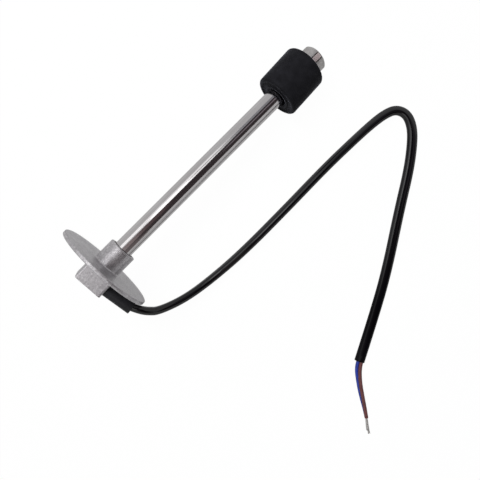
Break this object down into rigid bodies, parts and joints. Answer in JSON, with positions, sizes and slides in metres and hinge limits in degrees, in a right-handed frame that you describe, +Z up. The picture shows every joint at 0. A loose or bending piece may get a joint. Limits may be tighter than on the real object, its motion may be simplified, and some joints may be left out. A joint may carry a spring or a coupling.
{
  "type": "fuel sending unit",
  "caption": "Vertical-stem fuel level sender with a round flange, a magnetic float sliding on a steel stem, a stop collar and a two-core cable leaving a potted terminal block.",
  "frame": {"origin": "on the table, under the middle of the bounding box of everything but the cable and its cores", "axes": "+Z up from the table the part lies on; +X in plan along the stem, from the flange to the float; the stem slopes down by 5.46 degrees towards +X"},
  "size_m": [0.239, 0.2495, 0.0678],
  "materials": {
    "cast_aluminium": "fine bead-blasted casting",
    "potting_resin": "smooth cast resin",
    "seal_rubber": "matte",
    "polished_stainless": "polished",
    "plug_stainless": "turned",
    "collar_stainless": "satin",
    "collar_insert": "satin",
    "float_rubber": "matte closed-cell nitrile",
    "magnet_ferrite": "sintered",
    "board_laminate": "glass-fibre laminate",
    "reed_glass": "clear glass capsule",
    "resistor_ceramic": "glazed ceramic",
    "lead_brass": "drawn",
    "insulating_film": "rolled polyester film",
    "wire_insulation": "extruded",
    "shrink_sleeve": "shrunk",
    "sleeve_rubber": "satin",
    "jacket_pvc": "extruded, satin",
    "core_blue": "extruded",
    "core_brown": "extruded",
    "tinned_copper": "twisted, tinned strands"
  },
  "bodies": {
    "sender": {"head_casting": "cast_aluminium", "potting_compound": "potting_resin", "seal_ring": "seal_rubber", "stem_tube": "polished_stainless", "stem_end_plug": "plug_stainless", "stop_collar": "collar_stainless", "collar_key": "collar_insert", "sensor_board": "board_laminate", "reed_switches": "reed_glass", "resistors": "resistor_ceramic", "board_leads": "lead_brass", "insulating_sleeve": "insulating_film", "inner_wires": "wire_insulation", "splice_sleeves": "shrink_sleeve", "cable_sleeve": "sleeve_rubber", "cable_jacket": "jacket_pvc", "blue_core": "core_blue", "brown_core": "core_brown", "blue_strands": "tinned_copper", "brown_strands": "tinned_copper"},
    "float": {"float_body": "float_rubber", "float_magnet": "magnet_ferrite"}
  },
  "joints": [
    {"name": "float_slide", "type": "slide", "parent": "sender", "child": "float", "axis": [-0.9955, 0, 0.0952], "range_m": [0, 0.144]}
  ]
}
